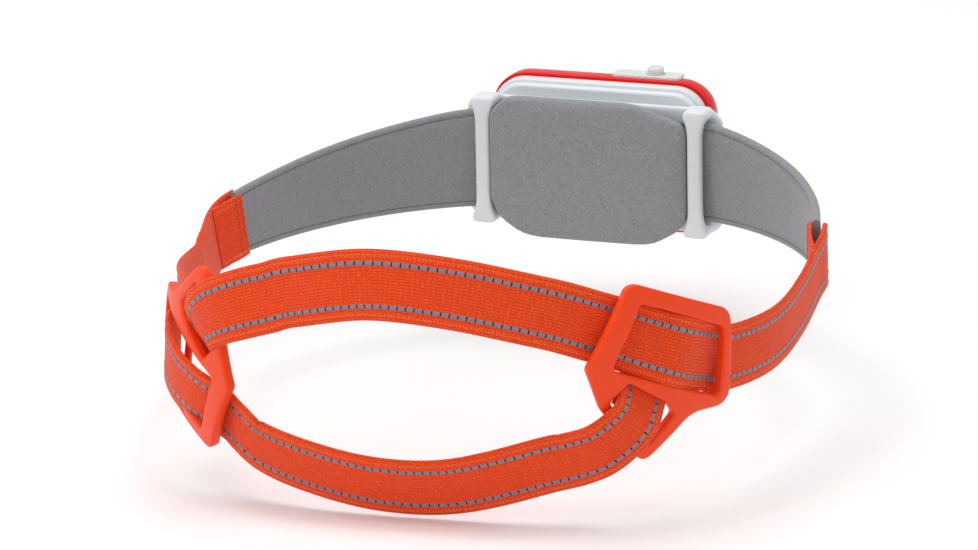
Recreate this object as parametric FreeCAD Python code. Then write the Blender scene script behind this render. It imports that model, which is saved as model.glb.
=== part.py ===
import FreeCAD, Part
import math
import os

# A headlamp: a tilting lamp on a bracket, a padded forehead band, and a split elastic
# webbing headband whose upper and lower straps meet in two sliding buckles.
# Millimetres. +Z is up, the lamp shines towards -Y and the wearer's right is -X.
# The origin is the centre of the forehead pad's face.

# ---- driving dimensions ----
# egg-shaped form that every band lies on
head_half_width = 94.2
head_half_length = 101.4
head_half_height = 100.5
head_centre_y = 88.7
head_centre_z = -4.8
head_squareness = 2.1

webbing_width = 20.0
webbing_thickness = 1.6
band_thickness = 2.4

# balls that the buckles' plates lie on, close to the form where each buckle slides
buckle_ball_radius = 98.2
right_buckle_ball = (4.54, 95.05, -5.3)
left_buckle_ball = (-9.26, 98.17, -16.39)
buckle_inner_gap = 2.5
buckle_thickness = 3.0
# how each buckle is turned from facing +X: spin in its plane, drop below level, swing about Z
right_buckle_turns = (0.0, 173.8, -34.9)
left_buckle_turns = (-1.66, -4.3, 42.75)

# forehead pad and bracket
pad_half_width = 31.5
pad_top = 21.6
pad_bottom = -22.8
pad_thickness = 5.2
bar_spacing = 69.9
bar_width = 5.0
bar_front_y = -4.4
bar_back_y = -1.5
bar_half_height = 20.6
plate_back_y = -9.9
plate_front_y = -11.7
plate_half_height = 22.0

# lamp housing
rear_face_y = -12.4
rear_step_y = -14.8
seam_y = -18.2
shoulder_y = -26.5
front_face_y = -33.5
lamp_half_width = 36.0
lamp_half_height = 24.2
lamp_corner = 11.0
wall = 1.6

# tilt hinge
hinge_y = -14.2
hinge_z = -20.6
hinge_pin_radius = 1.0
knuckle_radius = 2.4
hinge_clearance = 0.05

# power button
button_x = -16.0
button_y = -24.0
button_radius = 2.6
button_top_z = 27.4
button_clearance = 0.3


def vec(x, y, z):
    return FreeCAD.Vector(x, y, z)


def box(x0, x1, y0, y1, z0, z1):
    return Part.makeBox(x1 - x0, y1 - y0, z1 - z0, vec(x0, y0, z0))


def rod(radius, start, end):
    axis = end.sub(start)
    return Part.makeCylinder(radius, axis.Length, start, axis)


def cut_all(body, tools):
    for tool in tools:
        body = body.cut(tool)
    return body


def fuse_all(solids):
    body = solids[0]
    for other in solids[1:]:
        body = body.fuse(other)
    return body.removeSplitter()


# ---- flat outlines ----
def rounded_outline(corners, radii, place):
    """Closed wire through flat corners, each rounded; place turns a flat point into a 3-D one."""
    edges = []
    count = len(corners)
    ends = []
    for i in range(count):
        before, here, after = (vec(*corners[(i + k) % count], 0) for k in (-1, 0, 1))
        to_before = before.sub(here).normalize()
        to_after = after.sub(here).normalize()
        half_turn = to_before.getAngle(to_after) / 2
        cut_back = radii[i] / math.tan(half_turn)
        start = here.add(to_before * cut_back)
        end = here.add(to_after * cut_back)
        middle_way = to_before.add(to_after).normalize()
        centre_reach = radii[i] / math.sin(half_turn)
        middle = here.add(middle_way * (centre_reach - radii[i]))
        ends.append((start, middle, end))
    for i in range(count):
        start, middle, end = ends[i]
        following = ends[(i + 1) % count][0]
        edges.append(Part.Arc(place(start), place(middle), place(end)).toShape())
        if end.distanceToPoint(following) > 1e-4:
            edges.append(Part.LineSegment(place(end), place(following)).toShape())
    return Part.Wire(edges)


def slab(corners, radii, y_back, y_front):
    """Rounded outline in X and Z, thickened along Y from y_back to y_front."""
    wire = rounded_outline(corners, radii, lambda p: vec(p.x, y_back, p.y))
    return Part.Face(wire).extrude(vec(0, y_front - y_back, 0))


def rounded_slab(half_width, half_height, corner, y_back, y_front):
    corners = [
        (-half_width, -half_height),
        (half_width, -half_height),
        (half_width, half_height),
        (-half_width, half_height),
    ]
    return slab(corners, [corner] * 4, y_back, y_front)


# ---- the head form and the bands on it ----
def head_point(turn, z, lift):
    """Point on the form: turn in degrees from the lamp round by the wearer's right, lift outwards."""
    s = abs(math.sin(math.radians(turn)))
    c = abs(math.cos(math.radians(turn)))
    shrink = math.sqrt(1 - ((z - head_centre_z) / head_half_height) ** 2)
    n = head_squareness
    reach = ((s / head_half_width) ** n + (c / head_half_length) ** n) ** (-1 / n)
    radius = shrink * reach + lift
    return vec(
        -radius * math.sin(math.radians(turn)),
        head_centre_y - radius * math.cos(math.radians(turn)),
        z,
    )


def head_normal(turn, z):
    along = head_point(turn + 0.5, z, 0).sub(head_point(turn - 0.5, z, 0))
    upward = head_point(turn, z + 0.5, 0).sub(head_point(turn, z - 0.5, 0))
    return upward.cross(along).normalize()


def between(knots, position):
    """Smooth value between hand-set knots, each (turn, z, lift, width)."""
    i = min(int(position), len(knots) - 2)
    t = position - i
    p0 = knots[max(i - 1, 0)]
    p1 = knots[i]
    p2 = knots[i + 1]
    p3 = knots[min(i + 2, len(knots) - 1)]
    return [
        0.5 * (2 * b + (c - a) * t + (2 * a - 5 * b + 4 * c - d) * t * t
               + (3 * b - a - 3 * c + d) * t ** 3)
        for a, b, c, d in zip(p0, p1, p2, p3)
    ]


def ribbon(knots, thickness, steps_per_knot=4):
    """Band of flat section lofted along its knots on the head form."""
    count = (len(knots) - 1) * steps_per_knot
    rows = [between(knots, i / steps_per_knot) for i in range(count + 1)]
    centres = [head_point(turn, z, lift) for turn, z, lift, width in rows]
    sections = []
    for i, (turn, z, lift, width) in enumerate(rows):
        ahead = centres[min(i + 1, count)]
        behind = centres[max(i - 1, 0)]
        forward = ahead.sub(behind).normalize()
        across = head_normal(turn, z).cross(forward).normalize()
        outward = forward.cross(across).normalize()
        side = across * (width / 2)
        thick = outward * thickness
        low = centres[i].sub(side)
        high = centres[i].add(side)
        corners = [low, high, high.add(thick), low.add(thick)]
        sections.append(Part.makePolygon(corners + [corners[0]]))
    return Part.makeLoft(sections, True, True)


def front_band(side):
    """Padded band from under the pad, through the bracket, to the webbing; side is -1 for the right."""
    turns = (16.0, 18.2, 20.5, 23.0, 27.0, 38.0, 50.0, 62.0, 73.0)
    widths = (32.5, 32.5, 32.5, 32.0, 31.2, 28.5, 25.5, 22.5, 20.5)
    lifts = (-2.4, -1.6, -0.7, 0.4, 0.5, 0.1, 0.0, 0.0, 0.0)
    drop = 3.6 if side < 0 else 9.4
    knots = []
    for turn, width, lift in zip(turns, widths, lifts):
        z = -drop * math.sin(math.radians(turn)) ** 2
        knots.append((turn if side < 0 else 360 - turn, z, lift, width))
    return ribbon(knots, band_thickness)


# ---- where the straps meet the buckles ----
def buckle_placement(side):
    """From the blank buckle's frame, with the ball's centre at its origin, to its place on the head."""
    spin, drop, swing = right_buckle_turns if side < 0 else left_buckle_turns
    centre = right_buckle_ball if side < 0 else left_buckle_ball
    turned = FreeCAD.Rotation(vec(0, 0, 1), swing)
    turned = turned.multiply(FreeCAD.Rotation(vec(0, 1, 0), drop))
    turned = turned.multiply(FreeCAD.Rotation(vec(1, 0, 0), spin))
    return FreeCAD.Placement(vec(*centre), turned)


def buckle_knot(side, toward_lamp, up, lift, width):
    """Band knot set in a buckle's own frame: toward the lamp, up its face and out from the ball."""
    across = math.hypot(toward_lamp, up)
    swing = across / buckle_ball_radius
    reach = buckle_ball_radius + lift
    sideways = reach * math.sin(swing) / max(across, 1e-6)
    local = vec(reach * math.cos(swing), -toward_lamp * sideways, up * sideways)
    point = buckle_placement(side).multVec(local)
    turn = math.degrees(math.atan2(-point.x, head_centre_y - point.y)) % 360
    form_radius = math.hypot(*list(head_point(turn, point.z, 0).sub(vec(0, head_centre_y, point.z)))[:2])
    return (turn, point.z, math.hypot(point.x, point.y - head_centre_y) - form_radius, width)


# A strap that slides through a big window: inside the front bar, over the ladder bar,
# inside the rear bar. Each row is toward lamp, up, lift.
through_rows = [
    (22.0, -0.8, -0.8),
    (15.8, -3.1, -1.0),
    (8.4, -6.1, 1.25),
    (0.0, -9.3, 3.75),
    (-9.0, -12.8, 1.6),
    (-18.0, -16.4, -0.7),
    (-24.0, -18.8, -0.9),
]
# A strap's sewn end that lies over the small window's outer bar.
right_end_rows = [(-30.0, 21.2, 2.6), (-24.5, 18.4, 5.8), (-19.5, 15.2, 6.2), (-16.8, 12.8, 6.2)]
left_end_rows = [(-31.0, 16.9, 2.6), (-25.0, 13.6, 6.0), (-19.5, 10.6, 6.5), (-16.0, 9.0, 6.4)]


def buckle_knots(side, rows):
    return [buckle_knot(side, toward, up, lift, webbing_width) for toward, up, lift in rows]


def upper_webbing():
    """From the right band's end, through the right buckle, over the back of the head to the left one."""
    start = [(69.5, -3.2), (74.0, -4.7), (79.0, -7.4), (88.0, -11.8), (102.0, -15.2)]
    start_lifts = (band_thickness + 0.6, band_thickness + 0.3, 1.0, 0.0, 0.0)
    back = [(152.0, 8.6), (166.0, 14.4), (180.0, 16.0), (193.0, 12.6)]
    knots = [(turn, z, lift, webbing_width) for (turn, z), lift in zip(start, start_lifts)]
    knots += buckle_knots(-1, through_rows)
    knots += [(turn, z, 0.0, webbing_width) for turn, z in back]
    return ribbon(knots + buckle_knots(1, left_end_rows), webbing_thickness)


def lower_webbing():
    """From the left band's end, through the left buckle, under the back of the head to the right one."""
    start = [(290.5, -8.4), (286.0, -9.3), (281.0, -10.6), (272.0, -12.8), (258.0, -15.6)]
    start_lifts = (band_thickness + 0.6, band_thickness + 0.3, 1.0, -0.4, -2.6)
    back = [(205.0, -35.4), (193.0, -41.0), (180.0, -43.8), (167.0, -43.0)]
    knots = [(turn, z, lift, webbing_width) for (turn, z), lift in zip(start, start_lifts)]
    knots += buckle_knots(1, through_rows)
    knots += [(turn, z, 0.0, webbing_width) for turn, z in back]
    return ribbon(knots + buckle_knots(-1, right_end_rows), webbing_thickness)


def webbing_wrap(side):
    """Cut end of a strap, folded back and sewn on the inside of the padded band."""
    places = [(69.5, -3.2), (72.0, -3.6), (74.5, -4.6)] if side < 0 else [(290.5, -8.4), (288.0, -8.8), (285.5, -9.4)]
    return ribbon([(turn, z, -1.4, webbing_width) for turn, z in places], 1.2)


# ---- buckles ----
# flat outline of the left buckle: first number towards the lamp, second upwards
buckle_corners = [
    (-15.5, -30.8),
    (18.2, -18.2),
    (18.8, 10.2),
    (3.2, 10.6),
    (-9.6, 22.6),
    (-24.6, 3.6),
    (-29.2, -8.2),
]
buckle_radii = [3.0, 4.0, 3.5, 5.0, 3.0, 2.0, 1.5]
big_window = [(-12.4, -25.6), (15.4, -14.4), (15.4, 7.6), (-22.6, -6.2)]
big_window_radii = [1.5, 1.5, 1.5, 1.5]
small_window = [(-20.8, -1.2), (-4.8, 4.2), (-1.6, 8.2), (-8.6, 16.6), (-21.6, 2.6)]
small_window_radii = [1.0, 1.0, 1.0, 1.0, 1.0]
ladder_bar = ((2.4, -20.6), (-3.4, 1.4))
ladder_bar_radius = 1.1


def ball_shell(inner, outer):
    return Part.makeSphere(outer).cut(Part.makeSphere(inner))


def buckle_punch(corners, radii):
    """Straight prism through the buckle's zone of the ball, along +X."""
    wire = rounded_outline(corners, radii, lambda p: vec(70, -p.x, p.y))
    return Part.Face(wire).extrude(vec(50, 0, 0))


def buckle_blank():
    """Buckle about the origin as the ball's centre, facing +X."""
    inner = buckle_ball_radius + buckle_inner_gap
    plate = buckle_punch(buckle_corners, buckle_radii)
    plate = plate.common(ball_shell(inner, inner + buckle_thickness))
    plate = plate.cut(buckle_punch(big_window, big_window_radii))
    plate = plate.cut(buckle_punch(small_window, small_window_radii))
    bar_height = buckle_ball_radius + buckle_inner_gap - 0.2
    ends = []
    for toward_lamp, up in ladder_bar:
        across = math.hypot(toward_lamp, up)
        depth = math.sqrt(bar_height ** 2 - across ** 2)
        ends.append(vec(depth, -toward_lamp, up))
    return plate.fuse(rod(ladder_bar_radius, ends[0], ends[1]))


def placed_buckle(side):
    body = buckle_blank()
    body.Placement = buckle_placement(side)
    return body


# ---- forehead pad and bracket ----
def forehead_pad():
    corners = [
        (-pad_half_width, -13.0),
        (-24.0, pad_bottom),
        (24.0, pad_bottom),
        (pad_half_width, -13.0),
        (pad_half_width, 15.0),
        (26.0, pad_top),
        (-24.0, pad_top),
        (-pad_half_width, 15.0),
    ]
    body = slab(corners, [4.0] * 8, -pad_thickness, 0)
    rim = [e for e in body.Edges if e.BoundBox.YMin > -0.01]
    return body.makeFillet(1.4, rim)


def head_bracket():
    bar_x = bar_spacing / 2
    wing_half_width = bar_x + bar_width / 2 + 1.5
    plate = rounded_slab(wing_half_width, plate_half_height, 6.0, plate_back_y, plate_front_y)
    pieces = [plate]
    for side in (-1, 1):
        x = side * bar_x
        bar = box(x - bar_width / 2, x + bar_width / 2, bar_front_y, bar_back_y,
                  -bar_half_height, bar_half_height)
        pieces.append(bar.makeFillet(1.0, [e for e in bar.Edges if e.Length > 30]))
        for end in (-1, 1):
            z0 = min(end * 18.4, end * bar_half_height)
            z1 = max(end * 18.4, end * bar_half_height)
            pieces.append(box(x - 3.4, x + 3.4, plate_back_y - 0.5, bar_back_y - 0.4, z0, z1))
        ear_x = side * 12.5
        start = vec(ear_x - 1.4, hinge_y, hinge_z)
        ear = rod(knuckle_radius, start, start.add(vec(2.8, 0, 0)))
        foot = box(ear_x - 1.4, ear_x + 1.4, hinge_y, plate_front_y + 0.5,
                   -plate_half_height + 0.2, hinge_z + knuckle_radius)
        pieces += [ear, foot]
    bracket = fuse_all(pieces)
    bore = rod(hinge_pin_radius, vec(-20, hinge_y, hinge_z), vec(20, hinge_y, hinge_z))
    return bracket.cut(bore)


# ---- lamp housing ----
def rear_shell():
    back = rounded_slab(33.6, 22.0, lamp_corner - 2, rear_face_y, rear_step_y)
    middle = rounded_slab(34.8, 23.3, lamp_corner - 1, rear_step_y, seam_y)
    outside = back.fuse(middle)
    inside = rounded_slab(34.8 - wall, 23.3 - wall, lamp_corner - 1 - wall, rear_step_y - 0.6, seam_y - 1)
    hollow = inside.fuse(rounded_slab(33.6 - wall, 22.0 - wall, lamp_corner - 2 - wall,
                                      rear_face_y - wall, seam_y - 1))
    recess_wall_y = hinge_y - knuckle_radius - 0.4
    recess_top = hinge_z + knuckle_radius + 2.0
    recess = box(-40, 40, recess_wall_y, 0, -30, recess_top)
    guard = box(-40, 40, recess_wall_y - 1.2, 0, -30, recess_top + 1.2)
    shell = outside.cut(hollow.cut(guard)).cut(recess)
    knuckle_start = vec(-10.8, hinge_y, hinge_z)
    knuckle = rod(knuckle_radius, knuckle_start, vec(10.8, hinge_y, hinge_z))
    root = box(-10.8, 10.8, recess_wall_y - 0.6, hinge_y, hinge_z - 1.8, hinge_z + 2.2)
    shell = shell.fuse(knuckle).fuse(root)
    bore = rod(hinge_pin_radius + hinge_clearance, vec(-20, hinge_y, hinge_z), vec(20, hinge_y, hinge_z))
    screw_holes = [rod(1.25, vec(x, 0, z), vec(x, -20, z)) for x, z in screw_places]
    return cut_all(shell, [bore] + screw_holes)


screw_places = [(-27.0, 15.0), (27.0, 15.0), (-27.0, -12.0), (27.0, -12.0)]


# rounded shoulder of the front shell: how far forward, and how far in from the full outline
shoulder_steps = [(0.0, 0.0), (2.5, 0.4), (5.0, 1.8), (6.3, 3.4), (7.0, 5.1)]


def front_shell():
    body = rounded_slab(lamp_half_width, lamp_half_height, lamp_corner, seam_y - 0.6, shoulder_y)
    outlines = []
    for forward, inset in shoulder_steps:
        half_width, half_height = lamp_half_width - inset, lamp_half_height - inset
        corners = [(-half_width, -half_height), (half_width, -half_height),
                   (half_width, half_height), (-half_width, half_height)]
        outlines.append(rounded_outline(corners, [lamp_corner - inset / 2] * 4,
                                        lambda p, y=shoulder_y - forward: vec(p.x, y, p.y)))
    body = body.fuse(Part.makeLoft(outlines, True)).removeSplitter()
    hollow = rounded_slab(lamp_half_width - wall, lamp_half_height - wall, lamp_corner - wall,
                          seam_y, shoulder_y - 0.5)
    hollow = hollow.fuse(rounded_slab(31.4, 19.6, 9.0, seam_y, front_face_y + 2.2))
    lens_hole = rounded_slab(28.4, 15.4, 9.0, seam_y, front_face_y - 1)
    lens_seat = rounded_slab(30.0, 17.0, 10.0, front_face_y + 1.2, front_face_y - 1)
    button_hole = rod(button_radius + button_clearance, vec(button_x, button_y, 15), vec(button_x, button_y, 30))
    port_hole = box(30, 40, -26.0, -21.4, -6.0, 6.0)
    pipe_hole = rod(0.9, vec(-4, button_y, 15), vec(-4, button_y, 30))
    return cut_all(body, [hollow, lens_hole, lens_seat, button_hole, port_hole, pipe_hole])


def housing_seal():
    ring = rounded_slab(34.4, 22.9, lamp_corner - 1.4, seam_y, seam_y - 0.6)
    ring = ring.cut(rounded_slab(33.4, 21.9, lamp_corner - 2.4, seam_y + 1, seam_y - 2))
    return ring


def housing_screws():
    screws = []
    for x, z in screw_places:
        head = rod(1.9, vec(x, rear_face_y, z), vec(x, rear_face_y + 0.6, z))
        shank = rod(1.15, vec(x, rear_face_y, z), vec(x, seam_y + 0.2, z))
        socket = rod(0.8, vec(x, rear_face_y - 0.6, z), vec(x, rear_face_y + 1, z))
        screws.append(head.fuse(shank).cut(socket))
    return Part.makeCompound(screws)


def lens_window():
    return rounded_slab(29.8, 16.8, 9.8, front_face_y + 1.2, front_face_y - 0.2)


def optic_bezel():
    body = rounded_slab(28.2, 15.2, 8.8, -27.0, front_face_y + 1.3)
    holes = [
        rod(11.9, vec(13.5, -26, 0), vec(13.5, -36, 0)),
        rod(8.9, vec(-13.5, -26, 0), vec(-13.5, -36, 0)),
        rod(1.7, vec(-25.4, -26, 0), vec(-25.4, -36, 0)),
    ]
    return cut_all(body, holes)


def optic(x, front_radius, back_radius):
    """Moulded collimator: a cone that widens to the front, with a pocket for its emitter."""
    cone = Part.makeCone(back_radius, front_radius, 5.4, vec(x, -26.6, 0), vec(0, -1, 0))
    pocket = rod(1.9, vec(x, -26, 0), vec(x, -28.2, 0))
    return cone.cut(pocket)


def led(x):
    base = box(x - 1.6, x + 1.6, -26.3, -25.8, -1.6, 1.6)
    dome = Part.makeSphere(1.2, vec(x, -26.3, 0)).common(box(x - 2, x + 2, -30, -26.3, -2, 2))
    return base.fuse(dome)


def heat_sink():
    plate = box(-24, 24, -25.0, -23.8, -12, 12)
    fins = [box(x, x + 1.0, -23.8, -22.2, -12, 12) for x in range(-22, 22, 4)]
    return fuse_all([plate] + fins)


def control_board():
    board = box(-28, 28, -21.4, -20.4, -16, 18)
    chips = [box(-12, -5, -22.1, -21.4, 4, 11), box(6, 10, -22.1, -21.4, -10, -5)]
    return fuse_all([board] + chips)


def battery_cell():
    body = box(-24, 20, -19.8, -14.3, -13, 17)
    return body.makeFillet(1.2, [e for e in body.Edges if e.Length > 25])


def battery_tabs():
    tabs = [box(20, 25, -18.4, -18.2, z, z + 3) for z in (-4, 6)]
    return Part.makeCompound(tabs)


def power_button():
    stem = rod(button_radius, vec(button_x, button_y, 21.9), vec(button_x, button_y, button_top_z))
    top = [e for e in stem.Edges if e.BoundBox.ZMin > button_top_z - 0.01]
    return stem.makeFillet(0.8, top)


def button_strip():
    body = box(-24.5, -1.0, -27.4, -20.6, lamp_half_height, lamp_half_height + 1.0)
    body = body.makeFillet(0.8, [e for e in body.Edges if abs(e.Length - 1.0) < 0.01])
    pipe = rod(0.85, vec(-4, button_y, 22.0), vec(-4, button_y, lamp_half_height + 0.5))
    hole = rod(button_radius + button_clearance, vec(button_x, button_y, 20), vec(button_x, button_y, 30))
    return body.fuse(pipe).cut(hole)


def tactile_switch():
    base = box(button_x - 3, button_x + 3, -25.6, -22.4, 18.6, 20.0)
    return base.fuse(rod(1.0, vec(button_x, button_y, 20.0), vec(button_x, button_y, 20.7)))


def usb_port():
    body = box(27, 35.2, -25.3, -22.1, -4.2, 4.2)
    mouth = box(28, 36, -24.9, -22.5, -3.8, 3.8)
    tongue = box(28, 33, -23.9, -23.4, -3.0, 3.0)
    return body.cut(mouth).fuse(tongue)


cover_hinge_x = 36.9
cover_hinge_z = -8.8


def port_cover():
    flap = box(36.2, 37.4, -27.2, -20.2, -8.0, 8.0)
    flap = flap.makeFillet(1.0, [e for e in flap.Edges if abs(e.Length - 1.2) < 0.01])
    plug = box(35.5, 36.3, -25.6, -21.8, -5.4, 5.4)
    start = vec(cover_hinge_x, -26.0, cover_hinge_z)
    barrel = rod(0.65, start, start.add(vec(0, 4.6, 0)))
    web = box(36.4, 37.4, -26.0, -21.4, cover_hinge_z, -7.5)
    return fuse_all([flap, plug, barrel, web])


def main():
    nodes = {
        "head_bracket": head_bracket(),
        "forehead_pad": forehead_pad(),
        "front_band_right": front_band(-1),
        "front_band_left": front_band(1),
        "upper_webbing": upper_webbing(),
        "lower_webbing": lower_webbing(),
        "upper_webbing_wrap": webbing_wrap(-1),
        "lower_webbing_wrap": webbing_wrap(1),
        "right_buckle": placed_buckle(-1),
        "left_buckle": placed_buckle(1),
        "rear_shell": rear_shell(),
        "front_shell": front_shell(),
        "housing_seal": housing_seal(),
        "housing_screws": housing_screws(),
        "lens_window": lens_window(),
        "optic_bezel": optic_bezel(),
        "spot_optic": optic(13.5, 11.8, 3.4),
        "flood_optic": optic(-13.5, 8.8, 3.4),
        "spot_led": led(13.5),
        "flood_led": led(-13.5),
        "led_board": box(-22, 22, -25.8, -25.0, -10, 10),
        "heat_sink": heat_sink(),
        "control_board": control_board(),
        "battery_cell": battery_cell(),
        "battery_tabs": battery_tabs(),
        "light_sensor": rod(1.6, vec(-25.4, -28.0, 0), vec(-25.4, -31.6, 0)),
        "tactile_switch": tactile_switch(),
        "power_button": power_button(),
        "button_strip": button_strip(),
        "usb_port": usb_port(),
        "port_cover": port_cover(),
        "hinge_pin": rod(hinge_pin_radius, vec(-15, hinge_y, hinge_z), vec(15, hinge_y, hinge_z)),
        "detent_spring": box(-6, 6, plate_front_y - 0.3, plate_front_y, -15.0, -6.0),
    }
    os.makedirs("parts", exist_ok=True)
    for name, shape in nodes.items():
        shape.exportStep("parts/" + name + ".step")
        print(name, "valid", shape.isValid(), "solids", len(shape.Solids), "cm3", round(shape.Volume / 1000, 2))


main()
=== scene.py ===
import math

import bmesh
import bpy
from mathutils import Matrix, Vector


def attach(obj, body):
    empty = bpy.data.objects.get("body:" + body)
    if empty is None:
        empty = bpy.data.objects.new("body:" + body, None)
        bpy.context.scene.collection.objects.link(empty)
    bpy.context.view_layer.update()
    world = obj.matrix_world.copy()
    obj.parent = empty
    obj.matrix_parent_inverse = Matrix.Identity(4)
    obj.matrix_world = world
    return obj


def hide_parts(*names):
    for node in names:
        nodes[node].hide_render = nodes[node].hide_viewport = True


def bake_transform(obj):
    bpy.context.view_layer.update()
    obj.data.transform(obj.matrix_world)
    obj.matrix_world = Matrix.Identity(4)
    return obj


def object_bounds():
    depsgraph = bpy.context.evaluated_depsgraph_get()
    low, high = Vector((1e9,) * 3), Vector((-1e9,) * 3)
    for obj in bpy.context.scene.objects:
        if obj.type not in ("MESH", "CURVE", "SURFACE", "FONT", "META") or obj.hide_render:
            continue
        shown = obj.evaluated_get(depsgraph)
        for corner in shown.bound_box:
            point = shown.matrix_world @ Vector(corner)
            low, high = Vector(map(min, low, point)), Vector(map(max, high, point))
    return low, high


# A headlamp seen from behind: padded grey bands, orange elastic webbing and two sliding buckles.
# Lengths are in millimetres until a mesh is made, which is in metres.

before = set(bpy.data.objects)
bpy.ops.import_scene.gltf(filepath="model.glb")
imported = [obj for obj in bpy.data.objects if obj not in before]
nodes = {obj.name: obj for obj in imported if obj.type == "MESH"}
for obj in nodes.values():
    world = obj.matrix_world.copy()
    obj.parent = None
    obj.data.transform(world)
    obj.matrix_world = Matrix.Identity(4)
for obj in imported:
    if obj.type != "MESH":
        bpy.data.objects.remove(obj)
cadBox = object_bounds()
mm = 0.001
print("frame loaded")


# Small helpers for primitives, edits in edit mode and modifiers.
def deselectAll():
    active = bpy.context.object
    if active and active.mode != "OBJECT":
        bpy.ops.object.mode_set(mode="OBJECT")
    bpy.ops.object.select_all(action="DESELECT")


def makeActive(piece):
    deselectAll()
    piece.select_set(True)
    bpy.context.view_layer.objects.active = piece


def named(name):
    piece = bpy.context.object
    piece.name = name
    piece.data.name = name
    return piece


def settle(name):  # puts the new primitive's place into its mesh
    bpy.ops.object.transform_apply(location=True, rotation=True, scale=True)
    return named(name)


def addBlock(name, low, high):
    deselectAll()
    centre = [(a + b) / 2 * mm for a, b in zip(low, high)]
    size = [(b - a) * mm for a, b in zip(low, high)]
    bpy.ops.mesh.primitive_cube_add(size=1, location=centre, scale=size)
    return settle(name)


def addRod(name, start, end, radius, sides=32):
    deselectAll()
    start, end = Vector(start), Vector(end)
    turn = (end - start).to_track_quat("Z", "Y").to_euler()
    bpy.ops.mesh.primitive_cylinder_add(vertices=sides, radius=radius * mm, depth=(end - start).length * mm,
                                        location=(start + end) / 2 * mm, rotation=turn)
    return settle(name)


def pick(piece, kind, test):  # edit mode, with the vertices, edges or faces that pass the test selected
    makeActive(piece)
    bpy.ops.object.mode_set(mode="EDIT")
    bpy.ops.mesh.select_mode(type=kind)
    bpy.ops.mesh.select_all(action="DESELECT")
    bpy.ops.object.mode_set(mode="OBJECT")
    points = [v.co / mm for v in piece.data.vertices]
    if kind == "VERT":
        for v, place in zip(piece.data.vertices, points):
            v.select = test(place)
    elif kind == "EDGE":
        for e in piece.data.edges:
            a, b = (points[i] for i in e.vertices)
            e.select = test((a + b) / 2, (b - a).normalized())
    else:
        for f in piece.data.polygons:
            f.select = test(f.center / mm, f.normal)
    bpy.ops.object.mode_set(mode="EDIT")


def bevelEdges(piece, test, radius, segments=5):
    pick(piece, "EDGE", test)
    bpy.ops.mesh.bevel(offset=radius * mm, segments=segments, affect="EDGES")
    bpy.ops.object.mode_set(mode="OBJECT")


def extrudeFace(piece, test, move, grow=(1, 1, 1)):
    pick(piece, "FACE", test)
    bpy.ops.mesh.extrude_region_move(TRANSFORM_OT_translate={"value": [m * mm for m in move]})
    bpy.ops.transform.resize(value=grow)
    bpy.ops.object.mode_set(mode="OBJECT")


def applyModifier(piece, kind, **settings):
    makeActive(piece)
    modifier = piece.modifiers.new(kind, kind)
    for key, value in settings.items():
        setattr(modifier, key, value)
    bpy.ops.object.modifier_apply(modifier=modifier.name)


def cutAway(piece, *cutters):
    for cutter in cutters:
        applyModifier(piece, "BOOLEAN", operation="DIFFERENCE", object=cutter, solver="EXACT")
        bpy.data.objects.remove(cutter)


def joinInto(piece, *others):
    makeActive(piece)
    for other in others:
        other.select_set(True)
    bpy.ops.object.join()
    return piece


def fuseSoft(piece, voxel, rounds):  # one moulded body with soft edges from overlapping blocks
    applyModifier(piece, "REMESH", mode="VOXEL", voxel_size=voxel * mm)
    applyModifier(piece, "SMOOTH", factor=0.5, iterations=rounds)


def smoothShade(piece, degrees=35):
    makeActive(piece)
    bpy.ops.object.shade_smooth_by_angle(angle=math.radians(degrees))


def roundedSlab(name, halfX, halfZ, corner, yBack, yFront, centre=(0, 0), segments=10):
    cx, cz = centre
    slab = addBlock(name, (cx - halfX, min(yBack, yFront), cz - halfZ),
                    (cx + halfX, max(yBack, yFront), cz + halfZ))
    bevelEdges(slab, lambda place, along: abs(along.y) > 0.9, corner, segments)
    return slab


def dress(piece, material, body, slot, *replaced):
    if material:
        piece.data.materials.clear()
        piece.data.materials.append(material)
    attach(piece, body)
    if replaced:
        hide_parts(*replaced)
    return piece


# Materials. Pattern sizes are real ones, in millimetres.
def sRgb(code, alpha=1.0):
    channels = [int(code[i:i + 2], 16) / 255 for i in (1, 3, 5)]
    return [c / 12.92 if c <= 0.04045 else ((c + 0.055) / 1.055) ** 2.4 for c in channels] + [alpha]


def addNode(tree, kind, settings=None, links=None):
    node = tree.nodes.new(kind)
    for key, value in (settings or {}).items():
        if isinstance(key, str) and hasattr(node, key):
            setattr(node, key, value)
        else:
            node.inputs[key].default_value = value
    for key, source in (links or {}).items():
        tree.links.new(source, node.inputs[key])
    return node


def newMaterial(name, **shaderSettings):
    material = bpy.data.materials.new(name)
    material.use_nodes = True
    tree = material.node_tree
    tree.nodes.clear()
    shader = addNode(tree, "ShaderNodeBsdfPrincipled", shaderSettings)
    addNode(tree, "ShaderNodeOutputMaterial", links={"Surface": shader.outputs[0]})
    return material, tree, shader


# Brushed polyester knit over foam: dull and fuzzy, so it is mottled and shows a little sheen.
feltLook = {"dark": "#74787B", "light": "#A1A5A9", "patch": "#8B8F92", "fibre": 0.85, "patchSize": 5.0,
            "bump": 0.12}


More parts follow.
